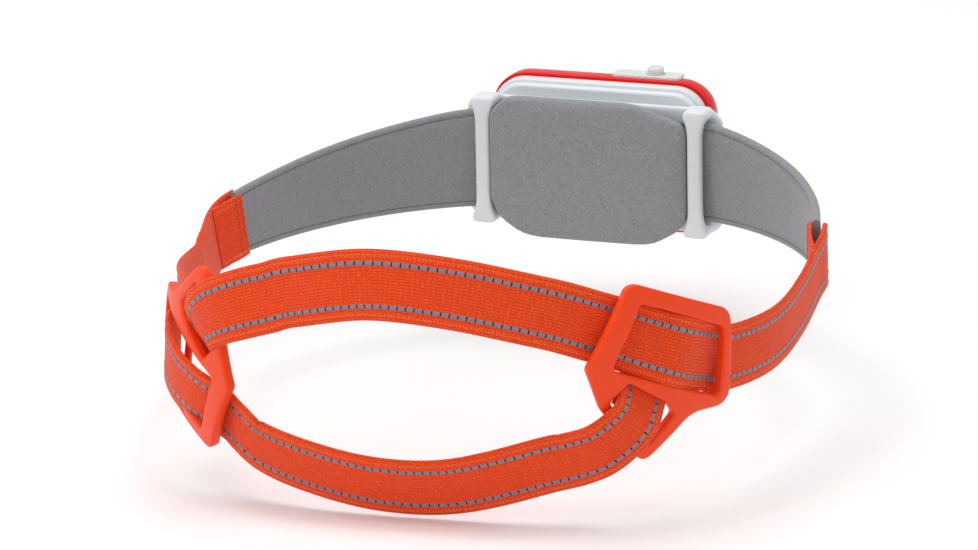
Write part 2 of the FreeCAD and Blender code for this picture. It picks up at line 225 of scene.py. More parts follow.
def brushedKnitFelt(name, look, paintedShade=1.0):
    material, tree, shader = newMaterial(name,
                                         **{"Roughness": 0.95, "Sheen Weight": 0.25, "Sheen Roughness": 0.5,
                                                  "Specular IOR Level": 0.15})
    place = addNode(tree, "ShaderNodeTexCoord")
    fibres = addNode(tree, "ShaderNodeTexNoise",
                     {"Scale": 1 / (look["fibre"] * mm), "Detail": 4.0, "Roughness": 0.65},
                     {"Vector": place.outputs["Object"]})
    patches = addNode(tree, "ShaderNodeTexNoise", {"Scale": 1 / (look["patchSize"] * mm), "Detail": 3.0},
                      {"Vector": place.outputs["Object"]})
    spread = addNode(tree, "ShaderNodeValToRGB", links={"Fac": fibres.outputs["Fac"]})
    spread.color_ramp.elements[0].position = 0.30
    spread.color_ramp.elements[1].position = 0.70
    # a factor below 1 darkens every colour of the felt: painted shade on a copy of it
    for stop, key in zip(spread.color_ramp.elements, ("dark", "light")):
        stop.color = [c * paintedShade for c in sRgb(look[key])[:3]] + [1.0]
    mottled = addNode(tree, "ShaderNodeMix", {"data_type": "RGBA", "blend_type": "MIX",
                                              7: sRgb(look["patch"])},
                      {"Factor": patches.outputs["Fac"], 6: spread.outputs["Color"]})
    nap = addNode(tree, "ShaderNodeBump", {"Strength": 0.8, "Distance": look["bump"] * mm},
                  {"Height": fibres.outputs["Fac"]})
    tree.links.new(mottled.outputs[2], shader.inputs["Base Color"])
    tree.links.new(nap.outputs["Normal"], shader.inputs["Normal"])
    return material


# Woven polyester elastic: ribs of orange thread with darker gaps, and paler picks near both selvedges.
# Its UV map is in metres: u along the strap, v across it, and the inner face's v is 30 mm further on.
webbingLook = {"thread": "#FF5414", "gap": "#D23407", "pick": "#FF8048", "ribLength": 1.5, "ribWidth": 0.85,
               "lean": 0.9, "pickPitch": 1.05, "pickFrom": 7.9, "pickTo": 8.7}


def wovenElastic(name, look):
    material, tree, shader = newMaterial(name,
                                         **{"Roughness": 0.78, "Sheen Weight": 0.15, "Sheen Roughness": 0.4,
                                                  "Specular IOR Level": 0.3})
    uv = addNode(tree, "ShaderNodeUVMap", {"uv_map": "UVMap"})
    split = addNode(tree, "ShaderNodeSeparateXYZ", links={"Vector": uv.outputs["UV"]})
    along, across = split.outputs["X"], split.outputs["Y"]
    leaned = addNode(tree, "ShaderNodeMath", {"operation": "MULTIPLY_ADD", 1: look["lean"]},
                     {0: across, 2: along})
    woven = addNode(tree, "ShaderNodeCombineXYZ", links={"X": leaned.outputs[0], "Y": across})
    wander = addNode(tree, "ShaderNodeTexNoise", {"Scale": 1 / (1.4 * mm), "Detail": 2.0},
                     {"Vector": uv.outputs["UV"]})
    loose = addNode(tree, "ShaderNodeVectorMath", {"operation": "MULTIPLY_ADD", 1: (0.9 * mm,) * 3},
                    {0: wander.outputs["Color"], 2: woven.outputs["Vector"]})
    ribs = addNode(tree, "ShaderNodeTexBrick",
                   {"Color1": (1, 1, 1, 1), "Color2": (0.72, 0.72, 0.72, 1), "Mortar": (0, 0, 0, 1),
                    "Scale": 1.0,
                    "Mortar Size": 0.14 * mm, "Mortar Smooth": 0.9, "Brick Width": look["ribLength"] * mm,
                    "Row Height": look["ribWidth"] * mm}, {"Vector": loose.outputs["Vector"]})
    fade = addNode(tree, "ShaderNodeTexNoise", {"Scale": 1 / (0.5 * mm), "Detail": 3.0},
                   {"Vector": uv.outputs["UV"]})
    tone = addNode(tree, "ShaderNodeMath", {"operation": "MULTIPLY"},
                   {0: ribs.outputs["Color"], 1: fade.outputs["Fac"]})
    lifted = addNode(tree, "ShaderNodeMapRange", {"From Min": 0.05, "From Max": 0.62},
                     {"Value": tone.outputs[0]})
    body = addNode(tree, "ShaderNodeMix", {"data_type": "RGBA", 6: sRgb(look["gap"]),
                                           7: sRgb(look["thread"])},
                   {"Factor": lifted.outputs["Result"]})
    # pale picks: short light stitches in a strip near each edge, on the outer face only
    offCentre = addNode(tree, "ShaderNodeMath", {"operation": "ABSOLUTE"}, {0: across})
    stripMiddle = (look["pickFrom"] + look["pickTo"]) / 2 * mm
    fromStrip = addNode(tree, "ShaderNodeMath", {"operation": "SUBTRACT", 1: stripMiddle},
                        {0: offCentre.outputs[0]})
    inStrip = addNode(tree, "ShaderNodeMath", {"operation": "COMPARE", 1: 0.0,
                                               2: (look["pickTo"] - look["pickFrom"]) / 2 * mm},
                      {0: fromStrip.outputs[0]})
    pickBeat = addNode(tree, "ShaderNodeMath", {"operation": "MODULO", 1: look["pickPitch"] * mm},
                       {0: leaned.outputs[0]})
    pickOn = addNode(tree, "ShaderNodeMath", {"operation": "LESS_THAN", 1: 0.45 * look["pickPitch"] * mm},
                     {0: pickBeat.outputs[0]})
    picks = addNode(tree, "ShaderNodeMath", {"operation": "MULTIPLY"},
                    {0: inStrip.outputs[0], 1: pickOn.outputs[0]})
    worn = addNode(tree, "ShaderNodeMath", {"operation": "MULTIPLY"},
                   {0: picks.outputs[0], 1: wander.outputs["Fac"]})
    coloured = addNode(tree, "ShaderNodeMix", {"data_type": "RGBA", 7: sRgb(look["pick"])},
                       {"Factor": worn.outputs[0], 6: body.outputs[2]})
    weave = addNode(tree, "ShaderNodeBump", {"Strength": 0.9, "Distance": 0.16 * mm},
                    {"Height": tone.outputs[0]})
    tree.links.new(coloured.outputs[2], shader.inputs["Base Color"])
    tree.links.new(weave.outputs["Normal"], shader.inputs["Normal"])
    return material


# Glass-bead reflective yarn, tied down by black thread at an even pitch: a dull mauve grey that glints.
yarnLook = {"bead": "#9A929C", "shadow": "#716A76", "tie": "#1C1518", "pitch": 2.5, "tieWidth": 0.42}


def reflectiveYarn(name, look):
    material, tree, shader = newMaterial(name, **{"Roughness": 0.42, "Metallic": 0.25})
    uv = addNode(tree, "ShaderNodeUVMap", {"uv_map": "UVMap"})
    split = addNode(tree, "ShaderNodeSeparateXYZ", links={"Vector": uv.outputs["UV"]})
    beads = addNode(tree, "ShaderNodeTexNoise", {"Scale": 1 / (0.35 * mm), "Detail": 3.0},
                    {"Vector": uv.outputs["UV"]})
    body = addNode(tree, "ShaderNodeMix", {"data_type": "RGBA", 6: sRgb(look["shadow"]),
                                           7: sRgb(look["bead"])},
                   {"Factor": beads.outputs["Fac"]})
    beat = addNode(tree, "ShaderNodeMath", {"operation": "MODULO", 1: look["pitch"] * mm},
                   {0: split.outputs["X"]})
    tie = addNode(tree, "ShaderNodeMath", {"operation": "LESS_THAN", 1: look["tieWidth"] * mm},
                  {0: beat.outputs[0]})
    tied = addNode(tree, "ShaderNodeMix", {"data_type": "RGBA", 7: sRgb(look["tie"])},
                   {"Factor": tie.outputs[0], 6: body.outputs[2]})
    sunk = addNode(tree, "ShaderNodeMath", {"operation": "SUBTRACT", 0: 1.0}, {1: tie.outputs[0]})
    grain = addNode(tree, "ShaderNodeBump", {"Strength": 0.7, "Distance": 0.12 * mm},
                    {"Height": sunk.outputs[0]})
    tree.links.new(tied.outputs[2], shader.inputs["Base Color"])
    tree.links.new(grain.outputs["Normal"], shader.inputs["Normal"])
    return material


# Any solid with one finish: a faint cloudy tint, and a fine grain raised on its skin.
def mouldedPlastic(name, colour, roughness, grain=0.6, grainDepth=0.012, variation=0.05, **more):
    settings = {"Roughness": roughness, "IOR": 1.49}
    settings.update(more)
    material, tree, shader = newMaterial(name, **settings)
    place = addNode(tree, "ShaderNodeTexCoord")
    cloud = addNode(tree, "ShaderNodeTexNoise", {"Scale": 1 / (9 * mm), "Detail": 3.0},
                    {"Vector": place.outputs["Object"]})
    spark = addNode(tree, "ShaderNodeTexNoise", {"Scale": 1 / (grain * mm), "Detail": 2.0},
                    {"Vector": place.outputs["Object"]})
    pale = [min(1.0, c * (1 + variation)) for c in sRgb(colour)[:3]] + [1.0]
    deep = [c * (1 - variation) for c in sRgb(colour)[:3]] + [1.0]
    tint = addNode(tree, "ShaderNodeMix", {"data_type": "RGBA", 6: deep, 7: pale},
                   {"Factor": cloud.outputs["Fac"]})
    skin = addNode(tree, "ShaderNodeBump", {"Strength": 0.5, "Distance": grainDepth * mm},
                   {"Height": spark.outputs["Fac"]})
    tree.links.new(tint.outputs[2], shader.inputs["Base Color"])
    tree.links.new(skin.outputs["Normal"], shader.inputs["Normal"])
    return material


felt = brushedKnitFelt("brushedKnitFelt", feltLook)
# The front bands: the same felt with every colour darkened by 0.93, painted shade for the bands' darker look.
shadedBandFelt = brushedKnitFelt("brushedKnitBandPaintedShade", feltLook, 0.93)
webbing = wovenElastic("wovenElasticWebbing", webbingLook)
yarn = reflectiveYarn("reflectiveYarn", yarnLook)
# The buckles: acetal, matt from its mould, letting a little light in.
buckleAcetal = mouldedPlastic("mouldedAcetalOrange", "#F4450A", 0.38, 0.5, 0.01, 0.05,
                              **{"Specular IOR Level": 0.32, "Subsurface Weight": 0.12,
                                 "Subsurface Radius": (0.004, 0.0012, 0.0005),
                                 "Subsurface Scale": 0.6})
# The bracket and rear shell: white ABS with a satin texture.
satinAbs = mouldedPlastic("satinAbsWhite", "#DCE2E5", 0.42, 0.5, 0.008, 0.02,
                          **{"Subsurface Weight": 0.08, "Subsurface Radius": (0.002, 0.002, 0.002),
                             "Subsurface Scale": 0.5})
# The front shell: red ABS with a smooth, slightly glossy face.
glossAbs = mouldedPlastic("glossAbsRed", "#DB0508", 0.22, 1.5, 0.004, 0.04, **{"Specular IOR Level": 0.25})
# The switch strip and its button: frosted polycarbonate.
frostedPc = mouldedPlastic("frostedPolycarbonate", "#EDF3F0", 0.45, 0.4, 0.01, 0.03,
                           **{"Transmission Weight": 0.25, "Subsurface Weight": 0.3,
                              "Subsurface Radius": (0.002, 0.002, 0.002), "Subsurface Scale": 0.5})
# Bezel and switch: black glass-filled nylon.
blackNylon = mouldedPlastic("blackNylonBezel", "#121214", 0.38, 0.4, 0.012, 0.15)
# The housing seal and the port flap: two grey silicones.
sealRubber = mouldedPlastic("siliconeSealGrey", "#4A4A4E", 0.62, 0.5, 0.015, 0.08)
portRubber = mouldedPlastic("siliconeFlapGrey", "#8E9093", 0.55, 0.5, 0.012, 0.05)
# The lens window is clear polycarbonate, the optics and sensor clear acrylic.
clearPc = mouldedPlastic("clearPolycarbonate", "#F8FAFA", 0.03, 2.0, 0.001, 0.0,
                         **{"Transmission Weight": 1.0, "IOR": 1.585})
clearAcrylic = mouldedPlastic("clearAcrylicOptic", "#FBFCFC", 0.04, 1.2, 0.002, 0.0,
                              **{"Transmission Weight": 1.0})
# Screws, pin, spring, tabs and port: plain steel. The heat sink: milled aluminium.
steel = mouldedPlastic("turnedStainlessSteel", "#C9CACC", 0.28, 0.3, 0.006, 0.05, **{"Metallic": 1.0})
aluminium = mouldedPlastic("milledAluminium", "#D4D6D8", 0.35, 0.3, 0.008, 0.05, **{"Metallic": 1.0})
# Circuit boards under green solder mask, LED phosphor, and the shrink wrap of the cell.
boardGreen = mouldedPlastic("solderMaskBoard", "#1E4B34", 0.4, 0.8, 0.02, 0.2)
phosphor = mouldedPlastic("ledPhosphor", "#E8D24A", 0.5, 0.3, 0.01, 0.06)
cellWrap = mouldedPlastic("batteryShrinkWrap", "#2D5F9E", 0.3, 1.5, 0.02, 0.08)
nodeLooks = {
    "housing_seal": sealRubber, "housing_screws": steel, "hinge_pin": steel, "detent_spring": steel,
    "battery_tabs": steel, "lens_window": clearPc, "optic_bezel": blackNylon, "spot_optic": clearAcrylic,
    "flood_optic": clearAcrylic, "spot_led": phosphor, "flood_led": phosphor, "led_board": boardGreen,
    "control_board": boardGreen, "heat_sink": aluminium, "battery_cell": cellWrap,
    "light_sensor": clearAcrylic,
    "tactile_switch": blackNylon, "usb_port": steel, "button_strip": frostedPc, "power_button": frostedPc,
    "port_cover": portRubber, "rear_shell": satinAbs, "front_shell": glossAbs,
}
for node, material in nodeLooks.items():
    nodes[node].data.materials.clear()
    nodes[node].data.materials.append(material)
print("materials made")

# The head form that every band lies on: a squarish oval, rounded above and below.
head = {"halfWidth": 94.2, "halfLength": 101.4, "halfHeight": 100.5, "centreY": 88.7, "centreZ": -4.8,
        "squareness": 2.1}


def headPoint(turn, z, lift):  # turn in degrees from the lamp round by the wearer's right
    s = abs(math.sin(math.radians(turn)))
    c = abs(math.cos(math.radians(turn)))
    shrink = math.sqrt(1 - ((z - head["centreZ"]) / head["halfHeight"]) ** 2)
    n = head["squareness"]
    reach = ((s / head["halfWidth"]) ** n + (c / head["halfLength"]) ** n) ** (-1 / n)
    radius = shrink * reach + lift
    return Vector((-radius * math.sin(math.radians(turn)),
                   head["centreY"] - radius * math.cos(math.radians(turn)), z))


def headNormal(turn, z):
    along = headPoint(turn + 0.5, z, 0) - headPoint(turn - 0.5, z, 0)
    upward = headPoint(turn, z + 0.5, 0) - headPoint(turn, z - 0.5, 0)
    return upward.cross(along).normalized()


def between(rows, position):  # smooth value between listed rows of (turn, z, lift, width)
    i = min(int(position), len(rows) - 2)
    t = position - i
    p0, p1, p2, p3 = (rows[min(max(k, 0), len(rows) - 1)] for k in (i - 1, i, i + 1, i + 2))
    return [0.5 * (2 * b + (c - a) * t + (2 * a - 5 * b + 4 * c - d) * t * t
                   + (3 * b - a - 3 * c + d) * t ** 3) for a, b, c, d in zip(p0, p1, p2, p3)]


# Each buckle has its own frame: a ball of one size, placed close to the form where that buckle lies.
ball = {"radius": 98.2, -1: (4.54, 95.05, -5.3), 1: (-9.26, 98.17, -16.39), "settle": {-1: 0.0, 1: 0.006}}
# Spin, drop and swing of the right buckle and of the left one, in degrees.
buckleTurns = {-1: (0.0, 173.8, -34.9), 1: (-1.66, -4.3, 42.75)}


def ballPlace(side):
    spin, drop, swing = (math.radians(a) for a in buckleTurns[side])
    turned = Matrix.Rotation(swing, 4, "Z") @ Matrix.Rotation(drop, 4, "Y") @ Matrix.Rotation(spin, 4, "X")
    return Matrix.Translation(ball[side]) @ turned


def onBall(side, towardLamp, up, lift):
    lift -= ball["settle"][side] * max(towardLamp, 0) ** 2  # the left one lies closer to the head in front
    offset = math.hypot(towardLamp, up)
    swing = offset / ball["radius"]
    reach = ball["radius"] + lift
    sideways = reach * math.sin(swing) / max(offset, 1e-6)
    return ballPlace(side) @ Vector((reach * math.cos(swing), -towardLamp * sideways, up * sideways))


def buckleRows(side, rows):
    made = []
    for towardLamp, up, lift, width in rows:
        point = onBall(side, towardLamp, up, lift)
        turn = math.degrees(math.atan2(-point.x, head["centreY"] - point.y)) % 360
        form = headPoint(turn, point.z, 0)
        made.append((turn, point.z, math.hypot(point.x, point.y - head["centreY"])
                     - math.hypot(form.x, form.y - head["centreY"]), width))
    return made


# Straps are a closed section swept along rows on the form.
def strapFrames(rows, start, end, steps):
    count = round((end - start) * steps)
    places = [between(rows, start + (end - start) * i / count) for i in range(count + 1)]
    step = (end - start) / count * 0.2
    frames = []
    for i, (turn, z, lift, width) in enumerate(places):
        position = start + (end - start) * i / count
        ahead = headPoint(*between(rows, min(position + step, len(rows) - 1))[:3])
        behind = headPoint(*between(rows, max(position - step, 0))[:3])
        forward = (ahead - behind).normalized()
        across = headNormal(turn, z).cross(forward).normalized()
        frames.append((headPoint(turn, z, lift), across, forward.cross(across).normalized(), width))
    return frames


def strapLength(rows, end, steps=12):
    count = max(1, round(end * steps))
    points = [headPoint(*between(rows, end * i / count)[:3]) for i in range(count + 1)]
    return sum((b - a).length for a, b in zip(points, points[1:]))


# A section point is: across, height, extra v, material number. The row's width scales across.
def sweepStrap(name, rows, start, end, section, materials, steps=14, nominal=20.0):
    frames = strapFrames(rows, start, end, steps)
    mesh = bpy.data.meshes.new(name)
    shape = bmesh.new()
    layer = shape.loops.layers.uv.new("UVMap")
    run = strapLength(rows, start)
    rings, lengths = [], []
    for i, (centre, across, outward, width) in enumerate(frames):
        if i:
            run += (centre - frames[i - 1][0]).length
        lengths.append(run)
        rings.append([shape.verts.new((centre + across * (a * width / nominal) + outward * h) * mm)
                      for a, h, extra, look in section])
    count = len(section)
    for i in range(len(rings) - 1):
        for k in range(count):
            following = (k + 1) % count
            face = shape.faces.new((rings[i][k], rings[i][following], rings[i + 1][following],
                                    rings[i + 1][k]))
            face.material_index = section[k][3]
            face.smooth = True
            extra = section[k][2] if section[k][2] == section[following][2] else 0.0
            for loop, (ring, point) in zip(face.loops,
                                           ((i, k), (i, following), (i + 1, following), (i + 1, k))):
                loop[layer].uv = (lengths[ring] * mm, (section[point][0] + extra) * mm)
    for ring, i in ((rings[0], 0), (rings[-1], -1)):
        cap = shape.faces.new(ring)
        for loop, (a, h, extra, look) in zip(cap.loops, section):
            loop[layer].uv = ((lengths[i] + h) * mm, a * mm)
    bmesh.ops.recalc_face_normals(shape, faces=shape.faces)
    shape.to_mesh(mesh)
    shape.free()
    piece = bpy.data.objects.new(name, mesh)
    bpy.context.scene.collection.objects.link(piece)
    for material in materials:
        mesh.materials.append(material)
    smoothShade(piece, 42)
    return piece


# Section of the webbing: plain inner face, round selvedges, and two raised reflective yarns outside.
strapShape = {"thickness": 1.6, "yarnMiddle": 6.0, "yarnHalf": 0.58, "yarnRise": 0.14, "edge": 0.7,
              "innerV": 30.0}


def webbingSection(shape):
    t, far = shape["thickness"], 10.0
    nearYarn, offYarn = shape["yarnMiddle"] - shape["yarnHalf"], shape["yarnMiddle"] + shape["yarnHalf"]
    face, top = t - 0.1, t - 0.1 + shape["yarnRise"]
    inner = [(-far + shape["edge"], 0.02, shape["innerV"], 0), (-5.0, 0.06, shape["innerV"], 0),
             (0.0, 0.06, shape["innerV"], 0), (5.0, 0.06, shape["innerV"], 0),
             (far - shape["edge"], 0.02, shape["innerV"], 0)]
    rightEdge = [(far - 0.2, 0.3, 0, 0), (far, t / 2, 0, 0), (far - 0.2, t - 0.28, 0, 0),
                 (far - shape["edge"], t, 0, 0),
                 (far - 2.0, face, 0, 0)]
    rightYarn = [(offYarn, face, 0, 1), (offYarn - 0.12, top, 0, 1), (nearYarn + 0.12, top, 0, 1),
                 (nearYarn, face, 0, 0)]
    middle = [(2.6, face + 0.04, 0, 0), (0.0, face + 0.05, 0, 0), (-2.6, face + 0.04, 0, 0)]
    leftYarn = [(-nearYarn, face, 0, 1), (-nearYarn - 0.12, top, 0, 1), (-offYarn + 0.12, top, 0, 1),
                (-offYarn, face, 0, 0)]
    leftEdge = [(-far + 2.0, face, 0, 0), (-far + shape["edge"], t, 0, 0), (-far + 0.2, t - 0.28, 0, 0),
                (-far, t / 2, 0, 0), (-far + 0.2, 0.3, 0, 0)]
    return inner + rightEdge + rightYarn + middle + leftYarn + leftEdge


def plainSection(thickness):
    t, far = thickness, 10.0
    return [(-far + 0.5, 0.0, 0, 0), (0, 0.0, 0, 0), (far - 0.5, 0.0, 0, 0), (far - 0.1, 0.25, 0, 0),
            (far - 0.1, t - 0.25, 0, 0), (far - 0.5, t, 0, 0), (0, t, 0, 0), (-far + 0.5, t, 0, 0),
            (-far + 0.1, t - 0.25, 0, 0), (-far + 0.1, 0.25, 0, 0)]


webbingSpec = {"width": 20.0, "band": 2.4}
# A strap sliding through a big window: inside the front bar, over the ladder bar, inside the rear bar.
throughRows = {-1: [(22.0, -0.8, -0.8, 20), (15.8, -2.9, -1.0, 20.4), (8.4, -5.7, 1.25, 20.8),
                    (0.0, -9.0, 3.75, 20.6),
                    (-9.0, -12.6, 1.6, 20.2), (-18.0, -16.4, -0.7, 20), (-24.0, -18.8, -0.9, 20)],
               1: [(22.0, -0.5, -0.6, 20), (15.8, -3.5, 1.0, 20), (8.4, -7.0, 5.0, 20.6),
                   (0.0, -11.3, 5.6, 21.6),
                   (-9.0, -15.7, 3.6, 21.6), (-18.0, -19.7, -0.5, 20), (-24.0, -23.0, -1.2, 19.6)]}
# A strap's sewn end: over the small window's outer bar, then down through the window
# and behind the middle bar.
endRows = {-1: [(-37.2, 21.6, 1.6, 20), (-30.0, 18.4, 3.8, 20), (-24.0, 14.9, 5.9, 19.6),
                (-18.6, 10.8, 6.2, 19),
                (-14.6, 7.2, 5.4, 18.2), (-11.6, 3.2, 2.6, 17.5), (-9.4, -0.6, 0.5, 17.2),
                (-7.8, -3.8, 0.1, 17)],
           1: [(-37.2, 20.1, 1.4, 20), (-31.0, 16.7, 3.6, 20), (-25.0, 13.2, 5.9, 19.6),
               (-19.0, 9.6, 6.2, 19),
               (-15.2, 6.6, 5.4, 18.2), (-12.4, 3.0, 2.6, 17.5), (-10.2, -0.6, 0.5, 17.2),
               (-8.6, -3.8, 0.1, 17)]}
# The hem: that end folded once against its own back, up to the outer bar.
hemDrop = 1.42
band, wide = webbingSpec["band"], webbingSpec["width"]
straps = {
    "upper": {"side": -1, "from": 0.6,
              "start": [(69.5, -3.2, band + 0.6), (74.0, -4.7, band + 0.3), (79.0, -7.4, 1.0),
                        (88.0, -11.8, 0.0),
                        (102.0, -15.2, 0.0)],
              "back": [(152.0, 8.6, 0.0), (166.0, 14.4, 0.0), (180.0, 16.0, 0.0), (193.0, 11.7, 0.0)]},
    "lower": {"side": 1, "from": 0.4,
              "start": [(290.5, -8.4, band + 0.6), (286.0, -9.3, band + 0.4), (281.0, -10.6, 1.3),
                        (272.0, -13.0, -3.0),
                        (262.0, -14.6, -5.2)],
              "back": [(202.5, -37.0, 1.4), (193.0, -40.8, 0.5), (180.0, -43.8, 0.0), (167.0, -43.0, 0.0)]},
}
buckleBodies = {-1: "right_buckle", 1: "left_buckle"}


for name, strap in straps.items():
    side = strap["side"]
    rows = [(turn, z, lift, wide) for turn, z, lift in strap["start"]]
    rows += buckleRows(side, throughRows[side])
    rows += [(turn, z, lift, wide) for turn, z, lift in strap["back"]]
    rows += buckleRows(-side, endRows[-side])
    strap["rows"] = rows
    section = webbingSection(strapShape)
    # front part to the ladder bar, middle part to the back of the head, end part to the other buckle
    parts = (("Front", strap["from"], 8, "headset", buckleBodies[side], 1, 5),
             ("Middle", 8, 14, buckleBodies[side], "headset", 11, 13.4),
             ("End", 14, len(rows) - 1, "headset", buckleBodies[-side], 14, 16))
    for part, start, end, first, second, blendFrom, blendTo in parts:
        piece = sweepStrap(name + "Webbing" + part, rows, start, end, section, [webbing, yarn])
        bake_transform(piece)
        if part == "Front":
            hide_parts(name + "_webbing")
    hemRows = [(towardLamp, up, lift - hemDrop, width - 0.4) for towardLamp, up, lift,
               width in endRows[-side][4:]]
    hem = sweepStrap(name + "WebbingHem", buckleRows(-side, hemRows), 0, len(hemRows) - 1,
                     plainSection(1.4), [webbing])
    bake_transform(hem)
print("webbing made")

# Padded front bands, with a welt along each edge.
bandSpec = {"turns": (16.0, 18.2, 20.5, 23.0, 27.0, 38.0, 50.0, 62.0, 73.0),
            "widths": (32.5, 32.5, 32.5, 32.0, 31.2, 28.5, 25.5, 22.5, 20.5),
            "lifts": (-2.4, -1.6, -0.7, 0.4, 0.5, 0.1, 0.0, 0.0, 0.0), "drops": {-1: 3.6, 1: 9.4},
            "thickness": 2.4, "welt": 1.7, "groove": 0.45}


def bandSection(spec, half):
    t, welt, groove = spec["thickness"], spec["welt"], spec["groove"]
    innerHalf = [(half - 0.4, 0.35), (half - 1.0, 0.02), (half - welt, 0.05), (half - welt - 0.25, groove),
                 (half - welt - 0.55, 0.1), (half - 4.5, -0.08), (half * 0.45, -0.14)]
    outerHalf = [(a, t - h) for a, h in innerHalf]
    right = [(a, h) for a, h in reversed(innerHalf)] + [(half, t / 2)] + outerHalf
    left = [(-a, h) for a, h in reversed(outerHalf)] + [(-half, t / 2)] + [(-a, h) for a, h in innerHalf]
    return right + left


def sweepBand(name, rows, spec, material, steps=10):
    frames = strapFrames(rows, 0, len(rows) - 1, steps)
    mesh = bpy.data.meshes.new(name)
    shape = bmesh.new()
    rings = []
    for centre, across, outward, width in frames:
        rings.append([shape.verts.new((centre + across * a + outward * h) * mm) for a,
                      h in bandSection(spec, width / 2)])
    count = len(rings[0])
    for i in range(len(rings) - 1):
        for k in range(count):
            shape.faces.new((rings[i][k], rings[i][(k + 1) % count], rings[i + 1][(k + 1) % count],
                             rings[i + 1][k]))
    shape.faces.new(rings[0])
    shape.faces.new(rings[-1])
    bmesh.ops.recalc_face_normals(shape, faces=shape.faces)
    shape.to_mesh(mesh)
    shape.free()
    piece = bpy.data.objects.new(name, mesh)
    bpy.context.scene.collection.objects.link(piece)
    smoothShade(piece, 60)
    return piece


for side, label in ((-1, "right"), (1, "left")):
    rows = []
    for turn, width, lift in zip(bandSpec["turns"], bandSpec["widths"], bandSpec["lifts"]):
        z = -bandSpec["drops"][side] * math.sin(math.radians(turn)) ** 2
        rows.append((turn if side < 0 else 360 - turn, z, lift, width))
    piece = sweepBand(label + "FrontBand", rows, bandSpec, shadedBandFelt)
    dress(piece, shadedBandFelt, "headset", "grey_felt", "front_band_" + label)

# Strap ends folded on to the inside of the bands, and their stitches.
wrapSpec = {"thickness": 1.2, "stitchRadius": 0.22, "stitchPitch": 1.5, "stitchReach": 1.1}
wrapRows = {"upper": [(71.6, -3.7, -1.25, wide), (73.2, -4.2, -1.25, wide), (75.2, -5.1, -0.9, wide),
                      (77.4, -6.4, 0.1, wide), (79.6, -7.7, 0.95, wide)],
            "lower": [(288.0, -8.8, -1.25, wide), (286.2, -9.2, -1.25, wide), (284.2, -9.6, -0.9, wide),
                      (282.2, -10.2, -0.1, wide), (280.2, -10.8, 0.55, wide)]}


def zigzagStitch(name, rows, position, spec):
    centre, across, outward, width = strapFrames(rows, position, position + 0.1, 10)[0]
    forward = across.cross(outward)
    count = int(width / spec["stitchPitch"])
    points = []
    for i in range(count + 1):
        reach = spec["stitchReach"] / 2 * (1 if i % 2 else -1)
        points.append(centre + across * (-width / 2 + 0.6 + (width - 1.2) * i / count) + forward * reach
                      - outward * 0.05)
    curve = bpy.data.curves.new(name, "CURVE")
    curve.dimensions = "3D"
    curve.bevel_depth = spec["stitchRadius"] * mm
    curve.bevel_resolution = 2
    line = curve.splines.new("POLY")
    line.points.add(len(points) - 1)
    for place, point in zip(line.points, points):
        place.co = (*(point * mm), 1.0)
    piece = bpy.data.objects.new(name, curve)
    bpy.context.scene.collection.objects.link(piece)
    makeActive(piece)
    bpy.ops.object.convert(target="MESH")
    return bpy.context.object


stitchThread = mouldedPlastic("polyesterThread", "#E2481A", 0.7, 0.3, 0.02, 0.1)
for name, rows in wrapRows.items():
    piece = sweepStrap(name + "Wrap", rows, 0, len(rows) - 1, plainSection(wrapSpec["thickness"]), [webbing])
    dress(piece, None, "headset", "orange_webbing", name + "_webbing_wrap")
    for i, position in enumerate((0.25, 1.0)):
        stitch = zigzagStitch(name + "Stitch" + str(i + 1), rows, position, wrapSpec)
        dress(stitch, stitchThread, "headset", "orange_webbing")
print("bands and stitched ends made")

# The two buckles are one moulding, cut flat and then laid on each ball.
buckleShape = {
    "corners": [(-15.4, -30.8), (17.7, -17.4), (18.2, 9.8), (4.2, 9.4), (-9.6, 22.2), (-24.6, 3.6),
                (-29.2, -8.2)],
    "cornerRadii": [3.5, 5.0, 4.0, 7.0, 3.0, 3.0, 2.0],
    "bigWindow": [(-12.3, -24.7), (14.9, -13.0), (14.2, 6.8), (-22.0, -7.4)],
    "bigRadii": [1.5, 1.5, 1.5, 2.0],
    "smallWindow": [(-16.8, -3.4), (-4.2, 4.6), (-1.5, 8.6), (-8.9, 16.5), (-22.2, 1.8)],
    "smallRadii": [1.2, 2.0, 1.2, 1.2, 1.2],
    "gap": 2.5, "thickness": 3.3, "ladderBar": ((2.4, -20.6), (-3.4, 1.8)), "ladderRadius": 1.1, "voxel": 0.4,
    "smoothing": 14,
}


# A flat outline, made from a circle whose points are moved to the corners.
def flatPlate(name, corners, radii, low, high):
    deselectAll()
    count = len(corners)
    bpy.ops.mesh.primitive_circle_add(vertices=count, radius=10 * mm, fill_type="NGON",
                                      location=(0, 0, low * mm))
    piece = settle(name)
    homes = [v.co.copy() for v in piece.data.vertices]
    winding = 1 if homes[0].xy.cross(homes[1].xy) > 0 else -1
    order = [(winding * i) % count for i in range(count)]
    for home, target in zip(homes, [corners[k] for k in order]):
        pick(piece, "VERT", lambda place, home=home: (place - home / mm).length < 0.01)
        move = Vector((target[0] * mm, target[1] * mm, home.z)) - home
        bpy.ops.transform.translate(value=move)
        bpy.ops.object.mode_set(mode="OBJECT")
    for k, (corner, radius) in enumerate(zip(corners, radii)):
        here = Vector(corner)
        before, after = Vector(corners[k - 1]), Vector(corners[(k + 1) % count])
        halfTurn = (before - here).angle(after - here) / 2
        pick(piece, "VERT", lambda place, here=here: (place.xy - here).length < 0.01)
        bpy.ops.mesh.bevel(offset=radius / math.tan(halfTurn) * mm, segments=6, affect="VERTICES")
        bpy.ops.object.mode_set(mode="OBJECT")
    makeActive(piece)
    bpy.ops.object.mode_set(mode="EDIT")
    bpy.ops.mesh.select_all(action="SELECT")
    bpy.ops.mesh.extrude_region_move(TRANSFORM_OT_translate={"value": (0, 0, (high - low) * mm)})
    bpy.ops.mesh.select_all(action="SELECT")
    bpy.ops.mesh.normals_make_consistent(inside=False)
    bpy.ops.object.mode_set(mode="OBJECT")
    return piece


